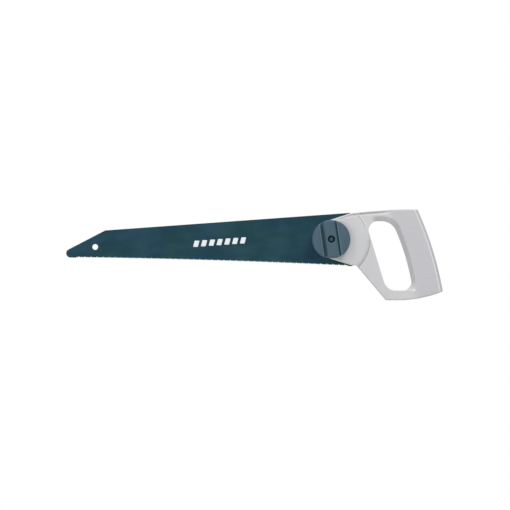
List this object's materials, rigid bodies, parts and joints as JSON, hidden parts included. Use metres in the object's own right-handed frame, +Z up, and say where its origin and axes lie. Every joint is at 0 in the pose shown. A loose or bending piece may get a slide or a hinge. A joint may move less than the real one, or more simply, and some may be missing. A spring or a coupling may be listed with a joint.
{
  "type": "adjustable hand saw",
  "caption": "Hand saw with a tapered steel blade that swings to set angles in a slotted D-shaped cast handle, locked by a round knob and pegs.",
  "frame": {"origin": "middle of the hand grip, halfway through the handle's thickness", "axes": "+X along the saw from the blade's tip to the grip, +Y away from the side with the knob, +Z up with the teeth facing down"},
  "size_m": [0.526, 0.0476, 0.1272],
  "materials": {
    "blade_coating": "dark teal low-friction coating, satin",
    "painted_casting": "silver-grey paint on die-cast aluminium",
    "knob_plastic": "grey-blue moulded plastic, satin",
    "zinc_steel": "zinc plated",
    "bright_steel": "ground",
    "spring_steel": "drawn wire",
    "black_steel": "black oxide"
  },
  "bodies": {
    "handle": {"handle_casting": "painted_casting", "pivot_bush": "bright_steel", "pivot_bolt": "black_steel", "release_spring": "spring_steel"},
    "blade": {"blade": "blade_coating"},
    "lock": {"locking_plate": "zinc_steel", "locking_peg_left": "bright_steel", "locking_peg_right": "bright_steel", "thrust_washer": "zinc_steel"},
    "knob": {"knob_moulding": "knob_plastic", "knob_insert": "black_steel"}
  },
  "joints": [
    {"name": "blade_swing", "type": "hinge", "parent": "handle", "child": "blade", "pos_m": [-0.122, 0, 0.02], "axis": [0, 1, 0], "range_deg": [-90, 90]},
    {"name": "lock_travel", "type": "slide", "parent": "handle", "child": "lock", "axis": [0, 1, 0], "range_m": [-0.0025, 0.00125], "deforming": ["release_spring"]},
    {"name": "knob_turn", "type": "hinge", "parent": "lock", "child": "knob", "pos_m": [-0.122, 0, 0.02], "axis": [0, 1, 0], "range_deg": [-720, 360]}
  ],
  "couplings": [
    {"joint": "lock_travel", "follows": "knob_turn", "m_per_rad": 0.00019894}
  ]
}
